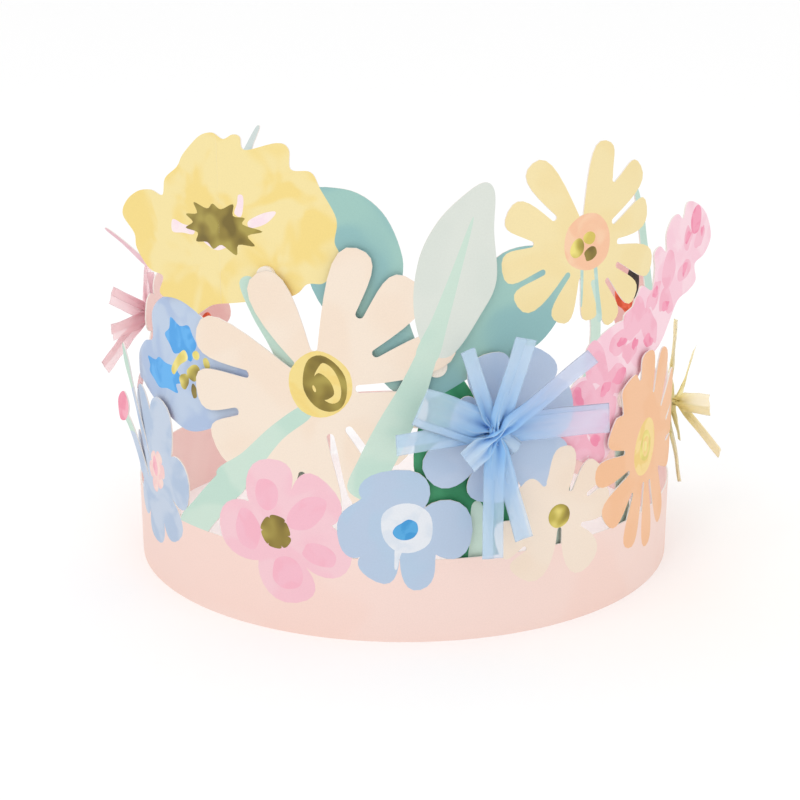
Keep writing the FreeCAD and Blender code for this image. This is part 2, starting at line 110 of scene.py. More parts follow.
def petals(rows, belly, slot=0):
    # rows of petal angle, length, width and the radius of the notch after it, clockwise;
    # belly is how far out a petal is widest, and slot the width of a notch with a round end
    segments, gaps, notches = [], [], []
    for row, (angle, _, _, notch) in enumerate(rows):
        gap = (angle - rows[(row + 1) % len(rows)][0]) % 360
        middle = math.radians(angle - gap / 2)
        out = Vector((math.cos(middle), math.sin(middle)))
        beside = Vector((-out.y, out.x)) * slot / 2
        gaps.append(math.radians(gap / 2))
        notches.append([out * (notch + slot / 2) + beside, out * (notch - slot / 6) + beside,
                        out * (notch - slot / 6) - beside, out * (notch + slot / 2) - beside])
    for row, (angle, length, width, _) in enumerate(rows):
        along = Vector((math.cos(math.radians(angle)), math.sin(math.radians(angle))))
        across = Vector((-along.y, along.x))
        shoulder = (0.4 + 0.45 * belly) * width    # half the petal's blunt tip
        sides = ((1, notches[row - 1][3], gaps[row - 1]), (-1, notches[row][0], gaps[row]))
        for side, start, gap in sides:
            waist = start @ along + belly * (length - start @ along)
            # a Bezier's middle is 1/8 of each end and 3/8 of each handle: this gives half the width
            flank = (width / 2 - abs(start @ across) / 8) * 8 / 3 - shoulder
            if gap < math.radians(80):    # and keeps it just clear of the next petal
                flank = min(flank, 0.97 * waist * math.tan(gap) - slot / 2)
            edge = (start, along * waist + across * side * flank,
                    along * length + across * side * shoulder, along * length)
            segments.append(edge if side == 1 else edge[::-1])
        if slot:
            segments.append(notches[row])
    return curved(segments)


def patch(points, steps=6):
    # smooth closed curve through a few points, its handles a sixth of the way between neighbours
    segments = []
    for index in range(len(points)):
        before, start = Vector(points[index - 1]), Vector(points[index])
        end = Vector(points[(index + 1) % len(points)])
        after = Vector(points[(index + 2) % len(points)])
        segments.append((start, start + (end - before) / 6, end - (after - start) / 6, end))
    return curved(segments, steps)


def ribbon(rows):
    # stem or leaf from (x, y, width) along its middle
    left, right = [], []
    for index, (x, y, width) in enumerate(rows):
        run = Vector(rows[min(index + 1, len(rows) - 1)][:2]) - Vector(rows[max(index - 1, 0)][:2])
        side = Vector((-run.y, run.x)).normalized() * width / 2
        left.append((x + side.x, y + side.y))
        right.append((x - side.x, y - side.y))
    return patch(left + right[::-1])


def blob(x, y, across, up, tilt=0, wobble=0.06, seed=0, corners=10):
    # brushed oval of printed ink, a little uneven
    points = []
    turn = Matrix.Rotation(math.radians(tilt), 2)
    for step in range(corners):
        angle = math.tau * step / corners
        swell = 1 + wobble * 2 * noise.noise(Vector((math.cos(angle), math.sin(angle), seed + 0.5)))
        oval = Vector((across / 2 * math.cos(angle), up / 2 * math.sin(angle)))
        points.append(Vector((x, y)) + turn @ oval * swell)
    return patch(points, 3)


def burst(x, y, across, up, spikes, seed, valley=0.72, ragged=0.28):
    # brushed star of ink with spikes of uneven length; valley is how far out its notches are
    points = []
    for step in range(2 * spikes):
        angle = math.tau * step / (2 * spikes)
        uneven = noise.noise(Vector((2 * math.cos(angle), 2 * math.sin(angle), seed)))
        swell = (valley if step % 2 else 1) * (1 + ragged * uneven)
        points.append((x + across / 2 * swell * math.cos(angle), y + up / 2 * swell * math.sin(angle)))
    return patch(points, 4)


def offCentre(x, y, points):
    return [point + Vector((x, y)) for point in points]


def linear(hexColour):
    channels = [int(hexColour[place:place + 2], 16) / 255 for place in (1, 3, 5)]
    return [share / 12.92 if share <= 0.04045 else ((share + 0.055) / 1.055) ** 2.4
            for share in channels] + [1]


def addNode(tree, kind, settings=None, inputs=None):
    node = tree.nodes.new(kind)
    for key, value in (settings or {}).items():
        setattr(node, key, value)
    for key, value in (inputs or {}).items():
        if isinstance(value, bpy.types.NodeSocket):
            tree.links.new(value, node.inputs[key])
        else:
            node.inputs[key].default_value = value
    return node


def newMaterial(name):
    material = bpy.data.materials.new(name)
    material.use_nodes = True
    return material, material.node_tree, material.node_tree.nodes["Principled BSDF"]


# Matt offset print on white board: flat pastel fields, a soft watery drift from one tint to a
# deeper one, and the faint tooth of uncoated card. The drift is centimetres wide.
inks = {
    # name: colour, deeper colour, width of the drift in mm
    "bandBlush": ("#EFD5CC", "#EFD2C8", 40),
    "insideBlush": ("#F6DAD4", "#F3D2CD", 45),
    "creamPetal": ("#EDDDCC", "#ECD9C6", 30),
    "discYellow": ("#EBD58A", "#EACF7C", 9),
    "mintStem": ("#C6DBCD", "#BBD6C8", 25),
    "paleLeaf": ("#D6DBD3", "#D3D9D1", 25),
    "pinkPetal": ("#EDC4CC", "#EDBDC8", 16),
    "pinkDeep": ("#EDB6C5", "#EDB0C0", 10),
    "blueSmall": ("#B2C3D9", "#AFC4DA", 18),
    "blueWhite": ("#DFE3E9", "#D6DDE6", 8),
    "blueDab": ("#52A4D9", "#3F95CF", 4),
    "blueBig": ("#B6C5DB", "#AFC1D9", 20),
    "orangePetal": ("#EFBF99", "#EEBB92", 20),
    "orangeDisc": ("#F1D594", "#EBCB7E", 6),
    "periwinkle": ("#BFCBDC", "#AEBFD6", 12),
    "peachPatch": ("#F1D3CB", "#EEC5C3", 6),
    "roseDab": ("#F1B7C1", "#EBA3B2", 5),
    "budPink": ("#F0A9B9", "#EA8FA6", 6),
    "teal": ("#9AC1B9", "#8CB6B6", 28),
    "darkGreen": ("#409468", "#2F8358", 14),
    "poppy": ("#EDDB9E", "#ECD384", 15),
    "poppyWhite": ("#F4E3E4", "#F2DCE2", 5),
    "paleDaisy": ("#EEDCA8", "#EDD9A2", 20),
    "peach": ("#F3CAA8", "#F1BF9C", 9),
    "mintLine": ("#BFD9D0", "#B2D0C8", 8),
    "hyacinth": ("#F5D4DD", "#F3C8D5", 12),
    "hyacinthRose": ("#F1BACA", "#EFB0C2", 7),
    "hyacinthDeep": ("#F09DB6", "#EC8AA8", 5),
    "leftBlue": ("#B9C8DD", "#A9BBD8", 16),
    "skyDab": ("#61AEE9", "#4E9FE0", 7),
    "strapRose": ("#DFB6BC", "#D9AEB6", 20),
    "sprigRose": ("#E3BFC6", "#DDB4BD", 8),
    "greyLeaf": ("#C9D3D0", "#BCC9C6", 6),
    "rearBlush": ("#EFC9C2", "#E9B9B4", 16),
    "coral": ("#EE6A46", "#CF4A22", 5),
    # painted shade: a dark patch inside the ring, drawn as a flower's centre
    "paintedShadeCentre": ("#3A2A26", "#221714", 4),
}


def printedInk(name, colour, deeper, drift):
    material, tree, shader = newMaterial(name + "Ink")
    shader.inputs["Roughness"].default_value = 0.62
    shader.inputs["Specular IOR Level"].default_value = 0.35
    blank = addNode(tree, "ShaderNodeUVMap", {"uv_map": "blank"})
    inMillimetres = addNode(tree, "ShaderNodeMapping", inputs={
        "Vector": blank.outputs["UV"], "Scale": (metre, metre, metre)})
    place = inMillimetres.outputs["Vector"]
    wash = addNode(tree, "ShaderNodeTexNoise", inputs={
        "Vector": place, "Scale": 1 / drift, "Detail": 2, "Roughness": 0.45, "Distortion": 0.6})
    pooled = addNode(tree, "ShaderNodeMapRange", {"interpolation_type": "SMOOTHERSTEP"}, {
        "Value": wash.outputs["Fac"], "From Min": 0.42, "From Max": 0.6})
    tint = addNode(tree, "ShaderNodeMix", {"data_type": "RGBA"}, {
        "Factor": pooled.outputs["Result"], "A": linear(colour), "B": linear(deeper)})
    # ink that the board takes up unevenly, in specks of about half a millimetre
    speck = addNode(tree, "ShaderNodeTexNoise", inputs={
        "Vector": place, "Scale": 2, "Detail": 3, "Roughness": 0.7})
    take = addNode(tree, "ShaderNodeMapRange", inputs={
        "Value": speck.outputs["Fac"], "From Min": 0.25, "From Max": 0.75,
        "To Min": 0.955, "To Max": 1.015})
    printed = addNode(tree, "ShaderNodeVectorMath", {"operation": "SCALE"}, {
        "Vector": tint.outputs["Result"], "Scale": take.outputs["Result"]})
    tree.links.new(printed.outputs["Vector"], shader.inputs["Base Color"])
    # the board's own tooth, coarser than the real fibres so that it still shows
    tooth = addNode(tree, "ShaderNodeTexNoise", inputs={
        "Vector": place, "Scale": 1.1, "Detail": 5, "Roughness": 0.65})
    relief = addNode(tree, "ShaderNodeBump", inputs={
        "Strength": 0.25, "Distance": 0.00008, "Height": tooth.outputs["Fac"]})
    tree.links.new(relief.outputs["Normal"], shader.inputs["Normal"])
    return material


# Gold foil stamped on the card: olive in its own colour, with painted reflection that runs from
# a painted dark to a painted bright in sweeps about 7 mm wide, and a fine ripple from the stamp.
foils = {
    # name: colour, darkest painted shade, brightest painted reflection
    "goldDark": ("#8E7C36", "#75642A", "#A8984A"),
    "goldBright": ("#B9A94A", "#8C7B34", "#EADB7E"),
    "goldPale": ("#E3D272", "#D2BE5C", "#F3E79C"),
}


def goldFoil(name, colour, paintedShadeColour, paintedGlintColour):
    material, tree, shader = newMaterial(name + "Foil")
    shader.inputs["Metallic"].default_value = 0.35
    shader.inputs["Roughness"].default_value = 0.42
    blank = addNode(tree, "ShaderNodeUVMap", {"uv_map": "blank"})
    # painted reflection: the foil's colour sweeps between painted shade and painted glints
    reflectionSweep = addNode(tree, "ShaderNodeTexNoise", inputs={
        "Vector": blank.outputs["UV"], "Scale": metre / 7, "Detail": 1})
    paintedReflection = addNode(tree, "ShaderNodeValToRGB", inputs={"Fac": reflectionSweep.outputs["Fac"]})
    paintedReflection.color_ramp.elements[0].position = 0.34
    paintedReflection.color_ramp.elements[0].color = linear(paintedShadeColour)
    paintedReflection.color_ramp.elements[1].position = 0.66
    paintedReflection.color_ramp.elements[1].color = linear(paintedGlintColour)
    middle = paintedReflection.color_ramp.elements.new(0.5)
    middle.color = linear(colour)
    tree.links.new(paintedReflection.outputs["Color"], shader.inputs["Base Color"])
    ripple = addNode(tree, "ShaderNodeTexNoise", inputs={
        "Vector": blank.outputs["UV"], "Scale": metre / 1.5, "Detail": 2})
    relief = addNode(tree, "ShaderNodeBump", inputs={
        "Strength": 0.3, "Distance": 0.0001, "Height": ripple.outputs["Fac"]})
    tree.links.new(relief.outputs["Normal"], shader.inputs["Normal"])
    return material


def cutEdge():
    # the board's white core where the die went through, a little grey and fibrous
    material, tree, shader = newMaterial("boardCore")
    shader.inputs["Roughness"].default_value = 0.85
    spot = addNode(tree, "ShaderNodeTexCoord")
    grain = addNode(tree, "ShaderNodeTexNoise", inputs={
        "Vector": spot.outputs["Object"], "Scale": metre / 0.6, "Detail": 3})
    core = addNode(tree, "ShaderNodeMix", {"data_type": "RGBA"}, {
        "Factor": grain.outputs["Fac"], "A": linear("#E4DCD4"), "B": linear("#F3EEE8")})
    tree.links.new(core.outputs["Result"], shader.inputs["Base Color"])
    return material


cardMaterials = {name: printedInk(name, *settings) for name, settings in inks.items()}
cardMaterials.update({name: goldFoil(name, *settings) for name, settings in foils.items()})
cardMaterials["core"] = cutEdge()
cardSlots = {name: slot for slot, name in enumerate(cardMaterials)}
printedTwice = {cardSlots[name] for name in ("rearBlush", "coral", "paintedShadeCentre")}    # on both faces
print("inks ready:", len(cardMaterials))


# Motifs: name, arc, rise above the band's top edge, ink, outline, printed marks (ink, outline).

def simpleFlower(length, width, notch):
    return petals([(angle, length, width, notch) for angle in (90, 18, -54, -126, -198)], 0.3)


tallMotifs = [    # printed before the band's own colour
    ("leftStem", -48.6, 25.8, "mintStem", ribbon([
        (19.5, 17, 4.5), (10.5, 10, 5), (1, 0, 7), (-8, -9, 9.5), (-18.5, -20, 10), (-26.5, -29, 10)]), []),
    ("creamDaisy", -24.6, 50.4, "creamPetal", petals([
        (75, 43, 11.5, 24.5), (50, 42, 13.5, 19), (21, 40, 11, 10.5), (-10, 31, 12, 19),
        (-37, 31, 14, 13), (-68, 36.5, 10.5, 13), (-87, 37.5, 11.5, 25.5), (-118, 34.5, 14.5, 29.5),
        (-148, 41.5, 13.5, 28), (-173, 42.5, 13, 22.5), (-198, 43, 14, 10), (-240, 37.5, 13, 11.5)],
        0.6, 2.4), [
        ("mintStem", ribbon([(-4, -6.5, 4), (-13.5, -14, 5), (-23, -24.5, 7), (-32, -33.5, 9.5)])),
        ("discYellow", blob(-0.3, 2, 19, 20, -15, 0.05, 1)),
        ("goldDark", blob(1.6, 2.2, 12.6, 16.6, 22, 0.08, 2)),
        ("discYellow", blob(2.4, 2.2, 7.6, 12, 24, 0.1, 3)),
        ("goldDark", blob(0.6, 0.8, 6, 8.6, 24, 0.16, 4)),
        ("discYellow", blob(-1.6, 0.4, 0.9, 2, 20, 0.1, 5))]),
    ("leafStem", 17.4, 71.8, "mintStem", ribbon([
        (-7.5, 0, 4.6), (-11.5, -11, 6), (-15.5, -21.5, 8), (-20.5, -32, 9.5),
        (-25.5, -42.5, 9.5), (-29.5, -52, 8)]), []),
    ("paleLeaf", 17.4, 71.8, "paleLeaf", patch([
        (4.5, 38), (7.5, 35), (7.5, 24.5), (8.5, 10.5), (4, 1), (-4.5, -10.5),
        (-12, -8), (-15, 4), (-13.5, 17.5), (-8.5, 27.5), (-1.5, 34.5)]), [
        ("mintStem", ribbon([(1, 27, 0.8), (-3, 14, 2.6), (-7.5, 0, 4.6), (-11.5, -11, 6)]))]),
    ("sideLeftStem", -169, 45, "mintStem", ribbon([(0, 0, 4), (2, -26, 6), (0, -55, 8)]), []),
    ("sideLeftFlower", -169, 45, "pinkPetal", simpleFlower(16, 13, 10), []),
    ("sideRightStem", 150, 18.5, "mintStem", ribbon([(0, 0, 4), (-1.5, -14, 5), (0, -30, 7)]), []),
    ("sideRightFlower", 150, 18.5, "paleDaisy", simpleFlower(16, 13, 10), []),
    ("rearLeftStem", -197, 36, "mintStem", ribbon([(0, 0, 4), (-2, -22, 5), (0, -46, 7)]), []),
    ("rearLeftFlower", -197, 36, "rearBlush", simpleFlower(13, 10, 8), [
        ("coral", blob(0, 0, 7, 8, 0, 0.1, 6))]),
    ("rearRightStem", 182, 51, "mintStem", ribbon([(0, 0, 4), (2, -30, 5), (0, -61, 7)]), []),
    ("rearRightFlower", 182, 51, "rearBlush", petals([
        (60, 17, 12, 11), (-12, 16, 12, 11), (-84, 17, 12, 11), (-156, 16, 12, 11),
        (-228, 17, 12, 11)], 0.3), [
        ("coral", blob(2, -2, 11, 14, 0, 0.15, 7)),
        # painted shade, drawn as the flower's dark centre
        ("paintedShadeCentre", blob(-3, 5, 8, 12, 0, 0.15, 8))]),
]

lowMotifs = [    # printed over the band
    ("bigBlue", 28, 39.8, "blueBig", petals([
        (105, 22, 14.5, 18), (60, 24.5, 17, 20), (11, 24, 15, 19), (-45, 25.5, 21.5, 18.5),
        (-99, 23.5, 17, 16), (-146, 26, 15, 13), (-200, 15, 13, 11)], 0.3), []),
    ("smallCream", 48.6, 8.8, "creamPetal", petals([
        (87, 22, 9, 8), (44, 20, 12, 11), (5, 20, 10, 9), (-58, 22, 13, 3.5), (-128, 22, 14, 14),
        (-165, 22, 14, 14), (-210, 18, 13, 12)], 0.5, 1.6), [
        ("goldBright", blob(-0.4, 0.3, 7.8, 7.6, 0, 0.05, 9))]),
    ("periwinkle", -95.2, 12.1, "periwinkle", petals([
        (74, 25, 14.5, 13.5), (-8, 21, 18, 12), (-54, 24, 15, 17), (-96, 25, 15, 17),
        (-135, 23.5, 13, 12), (-178, 26.5, 19, 14.5), (-230, 29, 16, 19)], 0.3), [
        ("peachPatch", petals([
            (60, 7, 5, 5), (5, 6.5, 5, 4.5), (-50, 6.5, 5, 5), (-105, 8, 5, 5), (-165, 6.5, 5, 4.5),
            (120, 6, 5, 4.5)], 0.3)),
        ("roseDab", blob(-1, 0.5, 3.8, 6.5, 14, 0.2, 10))]),
    ("pinkFlower", -38.5, 5.2, "pinkPetal", petals([
        (96, 23, 17, 15), (48, 23.5, 17.5, 17.5), (-18, 23.5, 14, 13), (-75, 22, 18.5, 12),
        (-176, 21.5, 16.5, 13)], 0.3), [
        ("pinkDeep", blob(-3.6, 12, 8.5, 10, -12, 0.1, 11)),
        ("pinkDeep", blob(9.5, 7.5, 13.5, 9, 38, 0.1, 12)),
        ("pinkDeep", blob(13, -5, 11.5, 7, -18, 0.12, 13)),
        ("pinkDeep", blob(3, -12, 10, 10, 30, 0.12, 14)),
        ("pinkDeep", blob(-10.5, -0.5, 9, 13, 8, 0.12, 15)),
        ("goldDark", offCentre(-0.8, 0.2, petals([
            (80, 5.4, 5.5, 4.6), (20, 4.8, 5, 3.8), (-35, 5.4, 5, 4.2), (-95, 5, 5.5, 4.4),
            (-150, 5, 5, 4.3), (150, 5.2, 5.5, 4.6)], 0.3)))]),
    ("smallBlue", -0.8, 9.4, "blueSmall", petals([
        (96, 18.5, 20, 9), (-3, 20.5, 20.5, 12.5), (-74, 19.5, 10.5, 8), (-115, 18, 13, 15),
        (-174, 19, 15, 15)], 0.3), [
        ("blueWhite", blob(1, 0.4, 16.5, 15.8, 0, 0.1, 16)),
        ("blueWhite", ribbon([(-1, -6, 2), (-1.5, -9, 1.4), (-1.8, -12, 0.8)])),
        ("blueDab", blob(1.2, 0, 7.8, 6, 12, 0.15, 3))]),
    ("orangeDaisy", 89.2, 19.9, "orangePetal", petals([
        (117, 28.5, 9, 25), (91, 32.5, 9.5, 18.5), (64, 33.5, 10.5, 16.5), (26, 36, 13.5, 19.5),
        (5, 34, 13.5, 19.5), (-15, 31, 11.5, 14.5), (-59, 32.5, 9, 11), (-84, 33, 8, 10),
        (-107, 31, 9, 14), (-141, 28, 12, 11), (-176, 27, 8.5, 13.5), (-208, 23.5, 9.5, 21.5)], 0.6, 1.6), [
        ("orangeDisc", blob(-0.5, 1.8, 14, 18.5, -12, 0.05, 17)),
        ("goldPale", blob(-0.5, 1.8, 7.5, 10, 0, 0.1, 18)),
        ("orangeDisc", blob(-0.3, 1.8, 4.4, 6.6, 0, 0.1, 19)),
        ("goldPale", blob(-0.5, 1.6, 2, 3.6, 10, 0.1, 20))]),
]

budHeads = [
    ("budLeaf", -94.2, 19, "mintStem", ribbon([
        (-26.5, 28, 1), (-24, 23, 3.5), (-20, 16, 2), (-15, 7, 2), (-9.5, -3, 3), (-3, -18, 5)]), []),
    ("budStem", -94.2, 19, "mintStem", ribbon([
        (-29, 5, 2.5), (-23, 1.5, 3.5), (-16.5, -5, 4), (-10.5, -13, 5), (-1, -26, 7)]), []),
    ("bud", -94.2, 19, "budPink", patch([(-28, 12), (-24, 8.5), (-26.5, 3), (-32.5, 1.5), (-33.5, 8)]), []),
]

poppy = ("poppy", -64, 92.6, "poppy", patch([
    (-18, 8.5), (-23, 9.5), (-29, 8.5), (-34.5, 5), (-36.5, 0.5), (-31.5, -4.5), (-30.5, -9),
    (-25, -14.5), (-19, -16), (-20.5, -21.5), (-11.5, -23.5), (-6, -26), (2.5, -21.5), (12, -19.5),
    (29, -16), (34, -12), (39, -11), (42.5, -3.5), (41.5, 0.5), (42, 7), (38, 15), (35.5, 19.5),
    (30, 20), (29.5, 25.5), (26, 27), (16, 24.5), (14.5, 28), (12, 28.5), (8.5, 27), (4.5, 28.5),
    (-1, 27), (-8, 21.5), (-11, 17.5), (-16.5, 13.5)]), [
    ("poppyWhite", ribbon([(-14, 0, 3.6), (-9.5, -0.4, 2.6), (-5, -0.6, 2)])),
    ("poppyWhite", ribbon([(25, 7.6, 1), (21.5, 5.6, 3), (17, 3.6, 2)])),
    ("poppyWhite", ribbon([(14.2, 11.6, 1.6), (14, 9, 2.2), (13, 6, 2.4)])),
    ("poppyWhite", ribbon([(0, -3, 1), (5, -3, 4), (11, -1.5, 1.4)])),
    ("goldDark", burst(5.4, 2, 28, 14.5, 11, 19.5))])

sprig = ("sprig", -64, 92.6, "sprigRose", ribbon([
    (-44.5, -5, 0.8), (-37, -8, 1.2), (-27, -13, 1.6)]), [])


florets = {
    "count": 17,
    "spike": ((-29, -32), (-37, -2), (6, 2), (44, 28)),    # knots of the curve that they follow
    "width": 8.5,
    "length": 12.5,
    "throatWidth": 3.8,
    "throatLength": 6,
    "beside": 4.2,       # distance from the curve
    "splay": 34,         # degrees away from it
    "taper": 0.25,       # share that they lose towards the tip
}


def floretMarks():
    # brushed florets up the spike, left and right of its stem in turn; most have a deeper throat
    knots = [Vector(knot) for knot in florets["spike"]]
    spike = geometry.interpolate_bezier(*knots, florets["count"] + 1)
    marks, throats = [], []
    for index in range(florets["count"]):
        heading = spike[index + 1] - spike[index]
        turned = math.degrees(math.atan2(heading.y, heading.x)) - 90
        side = 1 if index % 2 else -1
        loose = noise.noise(Vector((index * 1.7, 0.4, 2.1)))    # how far this one strays
        beside = Vector((-heading.y, heading.x)).normalized() * side
        size = 1.1 - florets["taper"] * index / florets["count"] + 0.5 * loose
        spot = spike[index] + beside * (florets["beside"] + 3 * loose)
        tilt = turned + side * (florets["splay"] + 60 * loose)
        marks.append(("hyacinthRose", blob(
            spot.x, spot.y, florets["width"] * size, florets["length"] * size, tilt, 0.34, 26 + index)))
        if index % 4 != 1:
            throat = spot + beside * (1 + 3 * loose) - heading.normalized() * 5 * loose
            tilt = turned + side * (10 + 90 * loose)
            throats.append(("hyacinthDeep", blob(
                throat.x, throat.y, florets["throatWidth"] * size, florets["throatLength"] * size,
                tilt, 0.4, 60 + index)))
    tip = ("hyacinthDeep", blob(35, 28, 8.5, 9.5, -55, 0.12, 80))
    return marks + throats + [tip]


hyacinth = ("hyacinth", 91.1, 59, "hyacinth", patch([
    (-39, -19), (-37.5, -13), (-35, -9.5), (-30.5, -8), (-30.5, -1.5), (-26.5, 2.5), (-20, 5), (-13.5, 6),
    (-9.5, 11), (-6, 14), (1, 11.5), (3, 17), (2, 22.5), (6.5, 24), (11.5, 21.5), (11, 27), (14.5, 31),
    (19.5, 32), (24, 30), (26.5, 34.5), (34, 33.5), (43.5, 28.5), (48.5, 20.5), (43.5, 15.5),
    (35.5, 13.5), (37, 8), (31, 5.5), (22.5, 4), (16.5, -1.5), (9.5, -7.5), (-5, -13), (-14.5, -24.5),
    (-23, -37), (-34, -34), (-36, -25)]), floretMarks())

backMotifs = [
    ("hyacinthStem", 80, 26, "mintStem", ribbon([(-6, 20, 5), (-4, 0, 6), (0, -34, 7)]), []),
    ("mintBlade", 102.1, 59, "mintStem", ribbon([
        (-23, 44.5, 1.5), (-19.5, 36, 3.5), (-17, 28, 4), (-14, 18.5, 4.5),
        (-11, 8.5, 5), (-9.5, -2.5, 5)]), []),
    ("greenLeaf", 28.6, 38.8, "darkGreen", ribbon([
        (-21.5, 23.5, 3), (-16, 10, 14), (-14.5, -8, 22), (-8.5, -23.5, 24), (-2.5, -43.5, 14)]), [
        ("mintStem", ribbon([(-7, -23, 3), (-6, -32, 5.5), (-5.5, -43, 7)]))]),
    ("tealLeaf", 17.7, 71.4, "teal", patch([
        (-46, 33), (-33.5, 36.5), (-23.5, 30.5), (-18, 18), (-18, 6), (-13, -10), (-11, -19),
        (-20, -21), (-30.5, -8), (-42, 8)]), []),
    ("tealLeafRight", 38.2, 69.3, "teal", patch([
        (-11.5, 19), (1.5, 21.5), (12, 15.5), (10, 3), (5, -4.5), (-2, -9), (-15, -13),
        (-30, -21), (-37, -18), (-28, -6), (-18.5, 4)]), []),
    ("paleDaisyStem", 56.2, 88.9, "mintStem", ribbon([
        (1, -5, 3), (5, -24, 4), (3, -38, 4), (-3, -56, 4.5), (-6, -74, 6), (-6, -96, 7)]), []),
    ("paleDaisy", 56.2, 88.9, "paleDaisy", petals([
        (77, 30.5, 9, 20.5), (41, 31.5, 10, 12), (16, 29.5, 10, 13), (-17, 34.5, 10, 14.5),
        (-38, 29.5, 8.5, 13.5), (-63, 27, 9, 10.5), (-83, 22, 7.5, 9), (-113, 23, 8.5, 9),
        (-146, 27, 9.5, 15), (-170, 27.5, 10, 18), (-205, 28.5, 9.5, 14), (-233, 31.5, 9, 9)], 0.6, 1.8), [
        ("mintLine", ribbon([(-1.2, -6, 1), (-1, -12, 0.9), (-1, -17, 0.5)])),
        ("mintLine", ribbon([(4, -6, 1.2), (5, -13, 1.4), (6.4, -22, 2)])),
        ("peach", blob(1, 1, 18, 16.8, 0, 0.05, 45)),
        ("goldPale", blob(1.4, 2.4, 4.6, 3.6, -10, 0.12, 46)),
        ("goldBright", blob(-3.2, -0.2, 4.6, 5.8, -25, 0.1, 47)),
        ("goldDark", blob(2.2, -2.2, 4.8, 3.8, 20, 0.2, 48))]),
    ("leftBlueStem", -97, 20, "mintStem", ribbon([(8, 18, 6), (2, 6, 7), (-1, -12, 7), (-1, -26, 8)]), []),
    ("poppyBract", -64, 92.6, "greyLeaf", ribbon([(20.5, 31, 1), (18, 26.5, 1.8), (15.5, 21.5, 2.4)]), []),
    poppy,
    ("poppyStem", -32, 40, "mintStem", ribbon([
        (-16, 40, 5), (-12, 31, 5), (-6.5, 22.5, 5), (-1.5, 12, 5),
        (1, -4, 5.5), (1, -20, 6), (2, -46, 7)]), []),
    hyacinth,
    ("leftBlue", -74.7, 47.2, "leftBlue", patch([
        (-22, 15.5), (-12.5, 22), (-0.5, 23), (13.5, 16), (25, 5.5), (23.5, -6.5), (12, -13.5),
        (-0.5, -17.5), (-14, -15), (-33.5, -10.5), (-43, -10.5), (-43, -4), (-31, 4), (-22.5, 7)]), [
        ("skyDab", burst(-3, 10.5, 19, 13, 6, 7.5)),
        ("skyDab", burst(-15, -2.5, 27, 10.5, 7, 2.5)),
        ("goldPale", ribbon([(-8.5, -0.5, 2.2), (-5, 3.5, 2.8), (-0.5, 6.5, 3)])),
        ("goldPale", blob(4.6, 7.2, 3.4, 2.8, 12, 0.1, 49)),
        ("goldBright", blob(9.2, 5.6, 3, 3.4, 10, 0.1, 50)),
        ("goldBright", blob(3, 1.6, 6.4, 4.6, 30, 0.15, 51)),
        ("goldBright", blob(-2.2, -2, 5.4, 5, 30, 0.15, 52)),
        ("goldDark", blob(2.8, -4.4, 3, 4.4, 0, 0.15, 53))]),
]


def layersOf(motifs, radius=None, reach=everywhere):
    # fields of ink from the bottom one up; a motif is drawn square on and, where the card has a
    # radius, is bent round with it; reach limits it to a stretch of the card
    layers = []
    for _, arc, rise, ink, outline, marks in motifs:
        for colour, points in [(ink, outline)] + marks:
            field = []
            for point in points:
                along = ring["radius"] * math.asin(point.x / radius) if radius else point.x
                field.append(Vector((arc + along, ring["bandHeight"] + rise + point.y)))
            layers.append({"ink": colour, "field": field, "reach": reach})
    return layers


def straightPart(ink, left, right, low, high):
    corners = ((left, low), (right, low), (right, high), (left, high))
    return {"ink": ink, "field": [Vector(corner) for corner in corners], "reach": everywhere}


def leftTurning(points):
    twiceArea = sum(a.x * b.y - b.x * a.y for a, b in zip(points, points[1:] + points[:1]))
    return points if twiceArea > 0 else points[::-1]


def dieCut(bm, layers, grid, place):
    # Every outline is cut into one flat blank, so that each field of ink has its own faces. A
    # face is kept where the topmost layer has ink and some layer adds card to it. The finished
    # sheet then goes to its place on the ring.
    margin = 1    # of the blank round the outermost points
    points, cuts, fields = [], [], []
    for layer in layers:
        first = len(points)
        points += leftTurning(layer["field"])
        fields.append(list(range(first, len(points))))
    across, up = [point.x for point in points], [point.y for point in points]
    left, right = min(across) - margin, max(across) + margin
    low, high = min(up) - margin, max(up) + margin
    stops = {edge for layer in layers for edge in layer["reach"] if left < edge < right}
    steps = math.ceil((right - left) / grid)
    lines = [((x, low), (x, high)) for x in
             sorted(stops | {left + (right - left) * step / steps for step in range(steps + 1)})]
    steps = math.ceil((high - low) / (2 * grid))
    lines += [((left, low + (high - low) * step / steps), (right, low + (high - low) * step / steps))
              for step in range(steps + 1)]
    for start, end in lines:
        cuts.append((len(points), len(points) + 1))
        points += [Vector(start), Vector(end)]
    flat, _, faces, _, _, owners = geometry.delaunay_2d_cdt(points, cuts, fields, 0, 1e-5)

    corners = [bm.verts.new((point.x, 0, point.y)) for point in flat]
    uv = bm.loops.layers.uv["blank"]
    front = []
    for face, fieldsHere in zip(faces, owners):
        middle = sum(flat[corner].x for corner in face) / len(face)
        here = [layers[index] for index in sorted(fieldsHere)
                if layers[index]["reach"][0] < middle < layers[index]["reach"][1]]
        if here and here[-1]["ink"] and any(not layer.get("overprint") for layer in here):
            front.append(bm.faces.new([corners[corner] for corner in face]))
            front[-1].material_index = cardSlots[here[-1]["ink"]]
    unused = [corner for corner in corners if not corner.link_faces]
    bmesh.ops.delete(bm, geom=unused, context="VERTS")
    for face in front:
        for loop in face.loops:
            loop[uv].uv = (loop.vert.co.x / metre, loop.vert.co.z / metre)

    sheet = thickened(bm, front)
    for face in sheet:
        face.smooth = True
    for corner in {corner for face in sheet for corner in face.verts}:
        corner.co = place(corner.co) / metre


